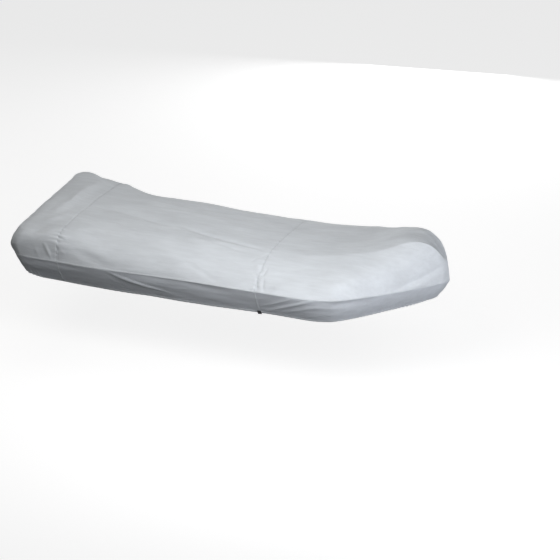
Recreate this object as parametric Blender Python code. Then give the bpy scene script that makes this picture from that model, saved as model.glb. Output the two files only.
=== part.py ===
"""A fitted cover for a four metre inflatable boat, as it hangs tied down over the hull.

Three upper panels (stern, middle, bow) lie over the side tubes and the deck. Under them a band
in three lengths turns inwards to the hem, and one webbing tab a side hangs from the hem.
The cover is a hollow shell, open below. Metres, +X to the bow, +Y to port, +Z up. The origin
is the point under the top, midway along, that the cover rests on.

The surface is one grid. Its columns are sections across the cover, carried round from the
middle of the stern along the starboard side to the bow and back along the port side. Its rows
run from the hem over the side crease and the tube to the middle line of the top.
"""
import bmesh
import bpy
import numpy as np

# Driving dimensions, metres
CLOTH = 0.0025            # thickness of the cloth with its coating
SEAM_GAP = 0.0004         # between two pieces that are sewn edge to edge
TOP_HEIGHT = 0.2323       # underside of the top above the side crease, at the origin

TAB_WIDTH = 0.038         # webbing tab on the hem
TAB_LENGTH = 0.044
TAB_THICK = 0.003
TAB_OVERLAP = 0.026       # part of the tab that lies on the band
TAB_STANDOFF = 0.0006     # between the webbing and the cloth it is sewn to

# Sections, from the middle of the stern to the tip of the bow. Heights (.._up) are above the
# side crease's level, widths (.._in) are measured inwards from the crease.
#   x, y       where the section starts, on the side crease
#   aim        plan direction in which it leaves the crease, degrees: 0 forward, 90 inboard, 180 aft
#   x_mid      where it reaches the middle line
#   crease     height of the side crease
#   wall       where the steep side ends
#   ridge      top of the tube, or of the raised edge inside it
#   corner     how sharply the cloth bends at the ridge: 0 a smooth curve, 1 a plain corner
#   dip        slack cloth inside the ridge
#   crown_up   height on the middle line
#   tilt       starboard ridge above, port ridge below their mean height
#   hem        edge of the turned-in band
#   steps      columns of the grid from here to the next section
COLUMNS = ("x", "y", "aim", "x_mid", "crease", "wall_in", "wall_up", "ridge_in", "ridge_up",
           "corner", "dip_in", "dip_up", "crown_up", "tilt", "hem_in", "hem_up", "steps")
SECTIONS = (
    (-1.905, 0.0, 0, -1.8, 0.01, 0.0, 0.14, 0.03, 0.275, 0, 0.065, 0.29, 0.294, 0.0, 0.085, -0.13, 4),
    (-1.912, 0.42, 8, -1.76, 0.01, -0.006, 0.135, 0.036, 0.272, 0, 0.15, 0.29, 0.294, -0.022, 0.085, -0.135, 3),
    (-1.922, 0.59, 26, -1.73, 0.01, -0.034, 0.105, 0.042, 0.266, 0, 0.19, 0.287, 0.293, -0.032, 0.085, -0.15, 2),
    (-1.9, 0.68, 41, -1.68, 0.012, -0.04, 0.108, 0.062, 0.264, 0, 0.22, 0.284, 0.291, -0.035, 0.085, -0.165, 2),
    (-1.825, 0.735, 57, -1.62, 0.013, -0.004, 0.14, 0.1, 0.266, 0, 0.27, 0.281, 0.289, -0.032, 0.09, -0.19, 3),
    (-1.66, 0.748, 77, -1.54, 0.014, 0.032, 0.182, 0.132, 0.264, 0, 0.31, 0.279, 0.287, -0.016, 0.1, -0.22, 4),
    (-1.45, 0.755, 90, -1.45, 0.014, 0.045, 0.18, 0.155, 0.252, 0, 0.33, 0.275, 0.284, 0.004, 0.105, -0.23, 5),
    (-1.15, 0.765, 90, -1.15, 0.008, 0.06, 0.118, 0.32, 0.24, 0, 0.5, 0.27, 0.279, 0.008, 0.11, -0.236, 8),
    (-0.65, 0.77, 90, -0.65, 0.002, 0.07, 0.096, 0.37, 0.238, 0.1, 0.58, 0.259, 0.268, 0.014, 0.11, -0.24, 9),
    (-0.05, 0.78, 90, -0.05, 0.0, 0.076, 0.086, 0.39, 0.224, 0.35, 0.56, 0.229, 0.24, 0.02, 0.11, -0.24, 8),
    (0.45, 0.79, 90, 0.45, -0.002, 0.08, 0.074, 0.405, 0.208, 0.45, 0.6, 0.211, 0.22, 0.018, 0.112, -0.236, 7),
    (0.9, 0.8, 90, 0.9, -0.004, 0.08, 0.084, 0.43, 0.22, 0.5, 0.6, 0.223, 0.23, 0.012, 0.112, -0.236, 4),
    (1.12, 0.77, 108, 1.08, -0.002, 0.075, 0.106, 0.438, 0.243, 0.6, 0.6, 0.245, 0.251, 0.01, 0.11, -0.232, 4),
    (1.29, 0.67, 127, 1.22, 0.0, 0.07, 0.132, 0.387, 0.266, 0.7, 0.52, 0.268, 0.276, 0.006, 0.108, -0.224, 4),
    (1.47, 0.51, 134, 1.34, 0.0, 0.064, 0.168, 0.29, 0.31, 0.8, 0.39, 0.308, 0.31, 0.002, 0.105, -0.212, 3),
    (1.6, 0.385, 136, 1.42, 0.0, 0.058, 0.2, 0.22, 0.351, 0.9, 0.3, 0.345, 0.335, 0.0, 0.102, -0.202, 3),
    (1.72, 0.27, 140, 1.49, 0.002, 0.046, 0.245, 0.167, 0.386, 0.9, 0.24, 0.382, 0.362, 0.0, 0.1, -0.195, 2),
    (1.8, 0.192, 146, 1.54, 0.003, 0.038, 0.25, 0.122, 0.394, 0.85, 0.2, 0.399, 0.379, 0.0, 0.1, -0.187, 2),
    (1.87, 0.12, 156, 1.58, 0.005, 0.024, 0.2, 0.056, 0.342, 0.8, 0.155, 0.4, 0.39, 0.0, 0.1, -0.178, 2),
    (1.92, 0.065, 168, 1.6, 0.006, 0.016, 0.14, 0.034, 0.254, 0.6, 0.14, 0.38, 0.395, 0.0, 0.105, -0.172, 2),
    (1.95, 0.0, 180, 1.61, 0.008, 0.006, 0.07, 0.014, 0.14, 0.2, 0.125, 0.36, 0.396, 0.0, 0.11, -0.165, 0),
)
AFT_SEAM = 6              # rows of SECTIONS where two panels are sewn together
MIDDLE_SEAM = 10

BAND_ROWS = 3             # cells of the grid from the hem to the side crease
WALL_ROWS = 3             # from the crease to the top of the steep side
TUBE_ROWS = 4             # on to the ridge
DIP_ROWS = 2              # on to the dip
DECK_ROWS = 3             # on to the middle line
BAND_BULGE = 0.010        # how far the band swells outwards from hem to crease
EASE_COLUMNS = 1          # columns each side that a section's sizes are evened over
SLACK_ROUNDS = 3          # how often the cloth between the ridges is evened out

EVENED = COLUMNS[COLUMNS.index("x_mid"):COLUMNS.index("tilt")]

# Main folds, starboard (-1) or port (+1): from (x1, g1) to (x2, g2), where g is measured along
# the cloth up from the side crease. A fold is a soft ridge of the given height and width.
FOLD_COLUMNS = ("side", "x1", "g1", "x2", "g2", "height", "width")
FOLDS = (
    (-1, -1.46, 0.170, -0.98, 0.020, 0.012, 0.050),
    (-1, -0.98, -0.020, -0.32, -0.200, 0.010, 0.040),
    (-1, -0.95, 0.130, -0.30, 0.060, 0.006, 0.070),
    (-1, 1.05, 0.050, 1.62, 0.110, 0.007, 0.050),
    (-1, 0.52, -0.215, 0.86, -0.060, 0.008, 0.040),
    (-1, -1.25, 0.860, 0.45, 0.540, -0.006, 0.035),
    (1, -1.00, -0.030, -0.40, -0.200, 0.009, 0.040),
    (1, 0.20, 0.080, 0.75, 0.030, 0.006, 0.060),
    (1, -1.20, 0.840, 0.35, 0.560, -0.006, 0.035),
    (1, 1.00, 0.060, 1.55, 0.130, 0.007, 0.055),
)
FOLD_FADE = 0.10          # folds die out over this distance from the middle line

# Slow waves in the cloth: turns along the boat and up the cloth in radians a metre, height and
# starting angle. They die out towards the middle line and towards the side crease.
WAVE_COLUMNS = ("along", "up", "height", "start")
WAVES = (
    (3.1, 5.0, 0.0020, 1.7),
    (6.7, -9.0, 0.0012, 0.9),
)
WAVE_FADE_MIDDLE = 0.25
WAVE_FADE_CREASE = 0.08

PIECES = ("stern_panel", "middle_panel", "bow_panel",
          "stern_band", "middle_band_starboard", "middle_band_port", "bow_band")

PANEL_FINISH = {"color": (0.60, 0.63, 0.66, 1.0), "roughness": 0.62}
BAND_FINISH = {"color": (0.56, 0.59, 0.63, 1.0), "roughness": 0.66}
WEBBING_FINISH = {"color": (0.02, 0.02, 0.022, 1.0), "roughness": 0.80}
SHARP_ANGLE = 40          # degrees; the cloth's faces are smooth, its cut edges sharp


def clear_scene():
    for thing in list(bpy.data.objects):
        bpy.data.objects.remove(thing, do_unlink=True)


def finish(name, color, roughness):
    material = bpy.data.materials.new(name)
    material.use_nodes = True
    shader = material.node_tree.nodes["Principled BSDF"]
    shader.inputs["Base Color"].default_value = color
    shader.inputs["Roughness"].default_value = roughness
    shader.inputs["Metallic"].default_value = 0.0
    return material


def smooth_through(knots, values, at, level_end=False, corner=None):
    """Values at the given places on a smooth curve through (knots, values).

    Cubic Hermite pieces. The slope at a knot is the harmonic mean of the slopes beside it, or
    zero where they differ in sign, so that the curve never overshoots its knots. With
    level_end the curve ends level. corner is a knot and a share: there each side of the curve
    takes that share of its own straight slope, so that it bends sharply.
    """
    knots = np.asarray(knots, float)
    values = np.asarray(values, float)
    steps = np.diff(knots)
    slopes = np.diff(values) / steps
    turn = slopes[:-1] * slopes[1:]
    safe = np.where(turn > 0, slopes[:-1] + slopes[1:], 1.0)
    inner = np.where(turn > 0, 2.0 * turn / safe, 0.0)
    leaving = np.concatenate((slopes[:1], inner, slopes[-1:] * (not level_end)))
    arriving = leaving.copy()
    if corner is not None:
        knot, share = corner
        arriving[knot] += share * (slopes[knot - 1] - arriving[knot])
        leaving[knot] += share * (slopes[knot] - leaving[knot])
    i = np.clip(np.searchsorted(knots, at, side="right") - 1, 0, len(steps) - 1)
    t = (at - knots[i]) / steps[i]
    h = steps[i]
    return ((2 * t**3 - 3 * t**2 + 1) * values[i] + (t**3 - 2 * t**2 + t) * h * leaving[i]
            + (3 * t**2 - 2 * t**3) * values[i + 1] + (t**3 - t**2) * h * arriving[i + 1])


def eased(values, reach):
    """Running mean over reach neighbours on each side, mirrored at both ends."""
    share = np.full(2 * reach + 1, 1.0 / (2 * reach + 1))
    return np.convolve(np.pad(values, reach, mode="reflect"), share, mode="valid")


def spread_sections():
    """Every column of the half grid: each column of the table, smooth between its sections."""
    table = {name: np.array([row[k] for row in SECTIONS]) for k, name in enumerate(COLUMNS)}
    steps = table["steps"][:-1].astype(int)
    knots = np.concatenate(([0.0], np.cumsum(np.hypot(np.diff(table["x"]), np.diff(table["y"])))))
    at = np.concatenate([np.linspace(knots[k], knots[k + 1], steps[k], endpoint=False)
                         for k in range(len(steps))] + [knots[-1:]])
    spread = {name: smooth_through(knots, table[name], at) for name in COLUMNS[:-1]}
    spread.update({name: eased(spread[name], EASE_COLUMNS) for name in EVENED})
    starts = np.concatenate(([0], np.cumsum(steps)))
    return spread, starts


def section_rows():
    """Row numbers of the hem, crease, wall, ridge, dip and middle line."""
    return np.cumsum((0, BAND_ROWS, WALL_ROWS, TUBE_ROWS, DIP_ROWS, DECK_ROWS))


def half_surface(side):
    """Points of one half as an array (column, row, xyz). side is -1 starboard, +1 port."""
    col, _ = spread_sections()
    hem, crease, wall, ridge, dip, middle = section_rows()
    edge = np.stack((col["x"], col["y"]), axis=1)
    target = np.stack((col["x_mid"], np.zeros_like(col["x"])), axis=1)

    aim = np.radians(col["aim"])
    inward = np.stack((np.cos(aim), -np.sin(aim)), axis=1)
    reach = np.linalg.norm(target - edge, axis=1)
    tilt = -side * col["tilt"]
    knots = np.array((crease, wall, ridge, dip, middle), float)
    widths = np.stack((0 * reach, col["wall_in"], col["ridge_in"], col["dip_in"], reach), axis=1)
    heights = np.stack((col["crease"], col["wall_up"] + 0.5 * tilt, col["ridge_up"] + tilt,
                        col["dip_up"] + 0.6 * tilt, col["crown_up"]), axis=1)

    rows = np.arange(middle + 1, dtype=float)
    upper = rows[crease:]
    points = np.zeros((len(reach), len(rows), 3))
    for k in range(len(reach)):
        corner = (2, col["corner"][k])
        width = smooth_through(knots, widths[k], upper, False, corner)
        points[k, crease:, 2] = smooth_through(knots, heights[k], upper, True, corner)
        # In plan the section leaves the crease along its aim and bends to the middle line
        s = (width / reach[k])[:, None]
        bend = edge[k] + inward[k] * reach[k] / 2
        points[k, crease:, :2] = (1 - s) ** 2 * edge[k] + 2 * s * (1 - s) * bend + s**2 * target[k]

    down = (1.0 - rows[:crease] / crease)[None, :]
    swell = BAND_BULGE * 4 * down * (1 - down)
    band_in = col["hem_in"][:, None] * down - swell
    points[:, :crease, :2] = edge[:, None] + inward[:, None] * band_in[..., None]
    points[:, :crease, 2] = col["crease"][:, None] + (col["hem_up"] - col["crease"])[:, None] * down

    points[:, middle, 1] = 0.0
    points[0, :, 1] = 0.0
    points[-1, :, 1] = 0.0
    points[..., 1] *= side
    return points


def grid_normals(points, side):
    """Unit normals of a half, out of the cover, from the differences between neighbours."""
    along = np.gradient(points, axis=0)
    up = np.gradient(points, axis=1)
    normals = np.cross(along, up) * -side
    return normals / np.maximum(np.linalg.norm(normals, axis=2, keepdims=True), 1e-9)


def girth(points):
    """Distance along each section from the side crease, up positive, down negative."""
    lengths = np.linalg.norm(np.diff(points, axis=1), axis=2)
    run = np.concatenate((np.zeros((len(points), 1)), np.cumsum(lengths, axis=1)), axis=1)
    return run - run[:, BAND_ROWS:BAND_ROWS + 1]


def fold_lift(points, side):
    """Height of the folds and of the cloth's slow waves at every point of a half."""
    x = points[..., 0]
    g = girth(points)
    lift = np.zeros_like(x)
    for row in FOLDS:
        fold = dict(zip(FOLD_COLUMNS, row))
        if fold["side"] != side:
            continue
        run = np.array((fold["x2"] - fold["x1"], fold["g2"] - fold["g1"]))
        length = np.hypot(*run)
        run /= length
        t = ((x - fold["x1"]) * run[0] + (g - fold["g1"]) * run[1]) / length
        off = (x - fold["x1"]) * run[1] - (g - fold["g1"]) * run[0]
        ends = np.clip(4 * t * (1 - t), 0, 1)
        lift += fold["height"] * ends * np.exp(-(off / fold["width"]) ** 2)
    waves = np.zeros_like(x)
    for row in WAVES:
        wave = dict(zip(WAVE_COLUMNS, row))
        turned = wave["along"] * x + wave["up"] * g + wave["start"] * side
        waves += wave["height"] * np.sin(turned)
    waves *= np.clip(np.abs(points[..., 1]) / WAVE_FADE_MIDDLE, 0, 1)
    waves *= np.clip(np.abs(g) / WAVE_FADE_CREASE, 0, 1)
    return lift + waves


def slack_half(side):
    """One half, the cloth between the two ridges pulled even, like a sheet under tension.

    Each point there moves to the mean of its four neighbours, round after round. On the middle
    line, at the middle of the stern and at the tip of the bow its neighbours are on the other side.
    """
    ridge = section_rows()[3]
    points = half_surface(side)
    deck = np.concatenate((points[:, ridge:], half_surface(-side)[:, ridge:-1][:, ::-1]), axis=1)
    for _ in range(SLACK_ROUNDS):
        along = np.concatenate((deck[1:2, ::-1], deck, deck[-2:-1, ::-1]))[:, 1:-1]
        deck[:, 1:-1] = (along[:-2] + along[2:] + deck[:, :-2] + deck[:, 2:]) / 4
    points[:, ridge:] = deck[:, :points.shape[1] - ridge]
    return points


def folded_half(side):
    points = slack_half(side)
    lift = fold_lift(points, side) * np.clip(np.abs(points[..., 1]) / FOLD_FADE, 0, 1)
    points = points + grid_normals(points, side) * lift[..., None]
    points[..., 2] -= TOP_HEIGHT
    return points


def piece_name(length, upper, side):
    """Name of the piece of cloth that a quad belongs to. length is 0 stern, 1 middle, 2 bow."""
    if upper:
        return PIECES[length]
    if length == 1:
        return "middle_band_starboard" if side < 0 else "middle_band_port"
    return "stern_band" if length == 0 else "bow_band"


def cover_surface():
    """The whole outer face as welded points, their normals, and quads tagged by their piece."""
    _, starts = spread_sections()
    crease, middle = section_rows()[1], section_rows()[-1]
    mesh = bmesh.new()
    piece = mesh.faces.layers.int.new("piece")
    for side in (-1, 1):
        points = folded_half(side)
        verts = [[mesh.verts.new(p) for p in column] for column in points]
        for c in range(len(points) - 1):
            length = int(c >= starts[AFT_SEAM]) + int(c >= starts[MIDDLE_SEAM])
            for r in range(middle):
                ring = (verts[c][r], verts[c + 1][r], verts[c + 1][r + 1], verts[c][r + 1])
                face = mesh.faces.new(ring if side < 0 else ring[::-1])
                face[piece] = PIECES.index(piece_name(length, r >= crease, side))
    bmesh.ops.remove_doubles(mesh, verts=mesh.verts, dist=1e-6)
    mesh.normal_update()
    mesh.verts.ensure_lookup_table()
    mesh.verts.index_update()
    places = np.array([v.co for v in mesh.verts])
    normals = np.array([v.normal for v in mesh.verts])
    quads = [tuple(v.index for v in face.verts) for face in mesh.faces]
    tags = [face[piece] for face in mesh.faces]
    mesh.free()
    return places, normals, quads, np.array(tags)


def rim_edges(quads):
    """Directed edges that only one quad uses, in that quad's direction."""
    seen = {}
    for quad in quads:
        for a, b in zip(quad, quad[1:] + quad[:1]):
            seen[(a, b)] = True
    return [edge for edge in seen if edge[::-1] not in seen]


def sheet_solid(name, places, normals, quads, material):
    """One piece of cloth: its quads, drawn back half a seam gap at the rim, made CLOTH thick."""
    rim = rim_edges(quads)
    pull = {}
    for a, b in rim:
        edge = places[b] - places[a]
        for v in (a, b):
            inward = np.cross(normals[v], edge)
            pull.setdefault(v, []).append(inward / np.linalg.norm(inward))
    outer = places.copy()
    for v, (first, second) in pull.items():
        outer[v] += (first + second) / (1.0 + first @ second) * SEAM_GAP / 2
    inner = outer - normals * CLOTH

    used = sorted({v for quad in quads for v in quad})
    slot = {v: i for i, v in enumerate(used)}
    count = len(used)
    vertices = np.concatenate((outer[used], inner[used]))
    faces = [tuple(slot[v] for v in quad) for quad in quads]
    faces += [tuple(count + slot[v] for v in quad[::-1]) for quad in quads]
    faces += [(slot[b], slot[a], count + slot[a], count + slot[b]) for a, b in rim]
    mesh = bpy.data.meshes.new(name)
    mesh.from_pydata(vertices.tolist(), [], faces)
    solid = bmesh.new()
    solid.from_mesh(mesh)
    bmesh.ops.recalc_face_normals(solid, faces=solid.faces)
    solid.to_mesh(mesh)
    solid.free()
    mesh.shade_smooth()
    mesh.set_sharp_from_angle(angle=np.radians(SHARP_ANGLE))
    mesh.materials.append(material)
    thing = bpy.data.objects.new(name, mesh)
    bpy.context.collection.objects.link(thing)
    return thing


def hem_frame(side):
    """Point on the hem at the middle seam, and directions along the hem, down the band and out."""
    points = folded_half(side)
    c = spread_sections()[1][MIDDLE_SEAM]
    foot = points[c, 0]
    down = foot - points[c, 1]
    down /= np.linalg.norm(down)
    along = points[c + 1, 0] - points[c - 1, 0]
    along -= down * (along @ down)
    along /= np.linalg.norm(along)
    out = np.cross(along, down)
    out *= np.sign(out[1] * side)
    return foot, along, down, out


def tie_tab(name, side, material):
    """A strip of webbing sewn flat on the band, hanging past the hem."""
    foot, along, down, out = hem_frame(side)
    corners = []
    for depth in (TAB_STANDOFF, TAB_STANDOFF + TAB_THICK):
        for s, t in ((-0.5, -TAB_OVERLAP), (0.5, -TAB_OVERLAP),
                     (0.5, TAB_LENGTH - TAB_OVERLAP), (-0.5, TAB_LENGTH - TAB_OVERLAP)):
            corners.append(foot + along * TAB_WIDTH * s + down * t + out * depth)
    faces = ((0, 1, 2, 3), (7, 6, 5, 4), (0, 4, 5, 1), (1, 5, 6, 2), (2, 6, 7, 3), (3, 7, 4, 0))
    mesh = bpy.data.meshes.new(name)
    mesh.from_pydata([tuple(c) for c in corners], [], faces)
    solid = bmesh.new()
    solid.from_mesh(mesh)
    bmesh.ops.recalc_face_normals(solid, faces=solid.faces)
    solid.to_mesh(mesh)
    solid.free()
    mesh.materials.append(material)
    thing = bpy.data.objects.new(name, mesh)
    bpy.context.collection.objects.link(thing)
    return thing


def build():
    clear_scene()
    panel_cloth = finish("panel_cloth", **PANEL_FINISH)
    band_cloth = finish("band_cloth", **BAND_FINISH)
    webbing = finish("webbing", **WEBBING_FINISH)
    places, normals, quads, tags = cover_surface()
    for tag, name in enumerate(PIECES):
        own = [quad for quad, t in zip(quads, tags) if t == tag]
        sheet_solid(name, places, normals, own, panel_cloth if "panel" in name else band_cloth)
    tie_tab("tie_tab_starboard", -1, webbing)
    tie_tab("tie_tab_port", 1, webbing)


build()
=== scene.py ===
"""A fitted cover for a four metre inflatable boat, in cloth, thread and webbing.

The cover's outer face is one surface of two parameters: a column runs round the side crease
from the middle of the stern to the bow, and a row runs from the hem over the crease and the
tube to the middle line. It is worked out as whole arrays for each side, folded along its
normals, welded on the middle line and cut into the seven pieces of cloth. Seams, hem, thread
and webbing are profiles carried along lines of that surface. Metres, +X bow, +Y port, +Z up.
"""

import bpy
import numpy as np
from mathutils import Matrix, Vector


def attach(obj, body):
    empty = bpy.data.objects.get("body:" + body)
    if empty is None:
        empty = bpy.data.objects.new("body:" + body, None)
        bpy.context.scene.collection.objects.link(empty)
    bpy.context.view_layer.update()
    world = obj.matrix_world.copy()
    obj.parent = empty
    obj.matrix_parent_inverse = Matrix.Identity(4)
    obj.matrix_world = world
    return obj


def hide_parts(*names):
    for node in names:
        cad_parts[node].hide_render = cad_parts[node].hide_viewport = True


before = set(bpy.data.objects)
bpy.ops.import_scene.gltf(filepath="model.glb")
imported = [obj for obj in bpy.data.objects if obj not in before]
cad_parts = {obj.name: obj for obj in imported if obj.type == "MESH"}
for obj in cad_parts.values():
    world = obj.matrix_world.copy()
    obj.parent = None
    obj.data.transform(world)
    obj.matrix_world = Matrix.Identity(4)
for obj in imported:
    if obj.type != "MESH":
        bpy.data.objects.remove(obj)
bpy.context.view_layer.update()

# ---------------------------------------------------------------- the cover's drawn shape

TOP_HEIGHT = 0.2323       # underside of the top above the side crease, at the origin
CLOTH = 0.0016            # thickness of the cloth
SEAM_GAP = 0.0004         # between two pieces that are sewn edge to edge

# Sections from the middle of the stern to the tip of the bow. Heights (.._up) are above the
# side crease's level, widths (.._in) are measured inwards from the crease.
COLUMNS = ("x", "y", "aim", "x_mid", "crease", "wall_in", "wall_up", "ridge_in", "ridge_up",
           "corner", "dip_in", "dip_up", "crown_up", "tilt", "hem_in", "hem_up", "steps")
SECTIONS = (
    (-1.905, 0, 0, -1.8, .006, 0, .14, .03, .275, 0, .065, .29, .294, 0, .085, -.13, 4),
    (-1.912, .42, 8, -1.76, .002, -.006, .135, .036, .272, 0, .15, .29, .294, -.022, .085, -.135, 3),
    (-1.922, .59, 26, -1.73, 0, -.034, .105, .042, .266, 0, .19, .287, .293, -.032, .085, -.15, 2),
    (-1.9, .68, 41, -1.68, .002, -.04, .108, .062, .264, 0, .22, .284, .291, -.035, .085, -.165, 2),
    (-1.825, .735, 57, -1.62, .003, -.004, .14, .1, .266, 0, .27, .281, .289, -.032, .09, -.19, 3),
    (-1.66, .748, 77, -1.54, .002, .032, .182, .132, .264, 0, .31, .279, .287, -.016, .1, -.22, 4),
    (-1.45, .755, 90, -1.45, .001, .045, .18, .155, .252, 0, .33, .275, .284, .004, .105, -.23, 5),
    (-1.15, .765, 90, -1.15, -.002, .06, .118, .32, .24, 0, .5, .27, .279, .008, .11, -.236, 8),
    (-.65, .77, 90, -.65, 0, .07, .096, .37, .238, .1, .58, .259, .268, .014, .11, -.24, 9),
    (-.05, .78, 90, -.05, .005, .076, .086, .39, .224, .35, .56, .229, .24, .02, .11, -.24, 8),
    (.45, .79, 90, .45, .006, .08, .074, .405, .208, .45, .6, .211, .22, .018, .112, -.236, 7),
    (.9, .8, 90, .9, .006, .08, .084, .43, .223, .5, .6, .229, .236, .012, .112, -.236, 4),
    (1.12, .77, 108, 1.08, .008, .075, .106, .438, .243, .6, .6, .245, .251, .01, .11, -.232, 4),
    (1.29, .67, 127, 1.22, .008, .07, .132, .387, .266, .7, .52, .268, .276, .006, .108, -.224, 4),
    (1.47, .51, 134, 1.34, .002, .064, .163, .285, .299, .6, .39, .312, .316, -.007, .105, -.212, 3),
    (1.6, .385, 136, 1.42, -.002, .058, .192, .215, .339, .55, .3, .353, .348, -.012, .102, -.202, 3),
    (1.72, .27, 140, 1.49, -.002, .046, .235, .163, .378, .5, .24, .394, .38, -.012, .1, -.195, 2),
    (1.8, .192, 146, 1.54, -.002, .038, .243, .12, .39, .5, .2, .404, .386, -.009, .1, -.187, 2),
    (1.87, .12, 156, 1.58, -.001, .024, .2, .056, .342, .8, .155, .4, .39, 0, .1, -.178, 2),
    (1.92, .065, 168, 1.6, 0, .016, .14, .034, .254, .6, .14, .38, .395, 0, .105, -.172, 2),
    (1.95, 0, 180, 1.61, .002, .006, .07, .014, .14, .2, .125, .36, .396, 0, .11, -.165, 0),
)
AFT_SEAM = 6              # rows of SECTIONS where two panels are sewn together
MIDDLE_SEAM = 10

# Rows that the sections are drawn through: hem, crease, wall, ridge, dip, middle line
DRAWN_ROWS = (0, 3, 6, 10, 12, 15)
FINE_ROWS = (32, 14, 34, 16, 18)   # cells of the fine grid between those rows
FINE_COLUMNS = 8                   # cells of the fine grid to each step of a section
EASE_COLUMNS = 10                  # columns each side that a section's sizes are evened over
SLACK_ROUNDS = 150                 # how often the cloth between the ridges is evened out
BAND_BULGE = 0.010                 # outward swell of the band between crease and hem

EVENED = COLUMNS[COLUMNS.index("x_mid"):COLUMNS.index("tilt")]

# Folds, from (x1, g1) to (x2, g2), where g is measured along the cloth up from the side crease,
# starboard (-1) or port (+1), and runs on over the middle line. bow is how far the fold bends
# aside at its middle. A fold is a soft ridge, or with a negative height a soft trough.
FOLD_COLUMNS = ("side", "x1", "g1", "x2", "g2", "bow", "height", "width")
FOLDS = (
    # the hood over the stern
    (-1, -1.66, .4, -1.6, 1.52, .02, .021, .075),
    (-1, -1.72, .36, -1.5, .62, .01, .0112, .06),
    (-1, -1.74, .2, -1.58, .36, .01, -.0096, .055),
    (-1, -1.59, .17, -1.5, .01, .005, .0064, .014),
    (-1, -1.68, .14, -1.62, .01, 0, .002, .018),
    (1, -1.7, .22, -1.56, .4, .01, -.0096, .05),
    (1, -1.6, .17, -1.52, .01, .005, .0064, .016),
    # starboard side
    (-1, -1.5, .24, -.88, .015, -.015, -.0085, .04),
    (-1, -1.4, .33, -.98, .16, -.02, .0064, .06),
    (-1, -1.05, .255, -.1, .2, -.01, .0128, .055),
    (-1, -.26, .185, .12, .035, 0, -.0048, .02),
    (-1, -1.24, .302, -1.02, .318, 0, .0032, .01),
    (-1, 1.05, .12, 1.45, .17, 0, .0064, .07),
    (-1, 1.52, 0, 1.93, .165, -.01, -.0112, .026),
    (-1, 1.6, -.01, 1.9, .085, 0, .0064, .026),
    # starboard band
    (-1, -.98, -.012, -.36, -.18, -.01, .0096, .013),
    (-1, -.94, -.04, -.5, -.165, -.01, .0064, .01),
    (-1, -.88, -.03, .25, -.055, .03, -.0112, .045),
    (-1, .46, -.185, .82, 0, 0, .0064, .012),
    (-1, .48, -.25, 1, 0, .01, .0112, .013),
    (-1, .6, -.24, 1.16, -.03, .01, .0064, .02),
    (-1, 1, -.045, 1.46, -.04, 0, -.0096, .04),
    # the slack top
    (-1, -1.55, .905, -.36, .55, .01, -.0144, .035),
    (-1, -.55, .675, .5, .44, -.015, -.014, .024),
    (-1, -.34, .53, .34, .37, -.01, -.0048, .016),
    (-1, -1.08, .575, -.66, .4, 0, -.0048, .02),
    (-1, -1.36, .93, -1.2, .7, 0, -.008, .05),
    (1, -1.22, .7, .3, .56, .02, -.008, .035),
    (1, -.7, .52, .4, .45, .01, -.0064, .024),
    (1, -1.5, .5, -.98, .52, 0, -.015, .12),
    (1, -.95, .5, .05, .5, 0, -.012, .12),
    # port side and band
    (1, -1.48, .19, -.95, 0, -.01, -.0128, .045),
    (1, -1, .24, -.2, .215, .01, .0096, .055),
    (1, .2, .13, .7, .06, 0, .008, .05),
    (1, 1.5, .01, 1.92, .15, -.01, -.0096, .028),
    (1, -1, -.02, -.42, -.19, 0, .0096, .014),
    (1, -.7, -.04, .2, -.07, .02, -.008, .045),
    (1, .47, -.24, .94, -.01, .01, .0096, .014),
    (1, .52, -.17, .84, -.005, 0, .0064, .012),
)
FOLD_FADE = 0.10          # at the middle of the stern and at the tip folds die out over this
FOLDED_TOP = (-1.74, 1.56)         # between these folds run over the middle line

# Puckers where thread draws the cloth in beside the two cross seams: short folds, as above
PUCKERS = (
    (-1, .33, .285, .38, .345, .01, -.0051, .012),
    (-1, .36, .19, .44, .14, .01, -.0068, .014),
    (-1, .49, .25, .47, .15, .01, -.0068, .012),
    (-1, .38, .275, .43, .205, 0, .0068, .022),
    (-1, .43, .15, .475, 0, 0, -.0068, .009),
    (-1, .495, .16, .53, 0, 0, -.0051, .009),
    (-1, .52, .02, .64, .06, 0, -.0068, .018),
    (-1, .46, .05, .4, .01, 0, .0051, .014),
    (-1, .46, .42, .4, .365, 0, -.0051, .012),
    (-1, .48, .48, .6, .47, 0, -.0051, .014),
    (-1, -1.46, .25, -1.36, .215, 0, .0051, .014),
    (-1, -1.44, .33, -1.33, .34, 0, -.0051, .014),
    (-1, -1.45, .13, -1.36, .085, 0, .0051, .012),
    (1, .44, .3, .36, .26, 0, -.0068, .014),
    (1, .47, .2, .55, .16, 0, -.0068, .014),
    (1, .46, .09, .38, .04, 0, -.0051, .013),
    (1, -1.45, .26, -1.35, .23, 0, .0068, .015),
    (1, -1.46, .12, -1.54, .08, 0, .0051, .013),
)
PUCKER_PITCH, PUCKER_HEIGHT, PUCKER_REACH = 0.047, 0.0036, 0.038
PUCKER_STRAY, PUCKER_STRAY_LENGTH = 1.6, 0.23      # how far the waves stray in phase, and how often
PUCKER_SHIFT = 0.9                                 # phase by which the two sides of a seam differ
SEAM_GROOVE, SEAM_GROOVE_WIDTH = 0.0034, 0.010

# Gathers at the hem: the side, where along the cover, pitch and height of the waves, reach up
GATHER_COLUMNS = ("side", "from_x", "to_x", "pitch", "height", "reach")
GATHERS = (
    (-1, 1.25, 1.9, .034, .0035, .055),
    (1, 1.2, 1.88, .037, .0035, .055),
    (-1, -1.9, -1.62, .04, .003, .06),
    (1, -1.9, -1.64, .038, .003, .06),
    (-1, -1.55, 1.2, .052, .001, .045),
    (1, -1.55, 1.15, .056, .001, .045),
)

GATHER_STRAY, GATHER_STRAY_LENGTH = 1.3, 0.31      # how far the waves stray in phase, and how often
GATHER_LEAN = 9                                    # phase that they gain for each metre up the band

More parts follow.
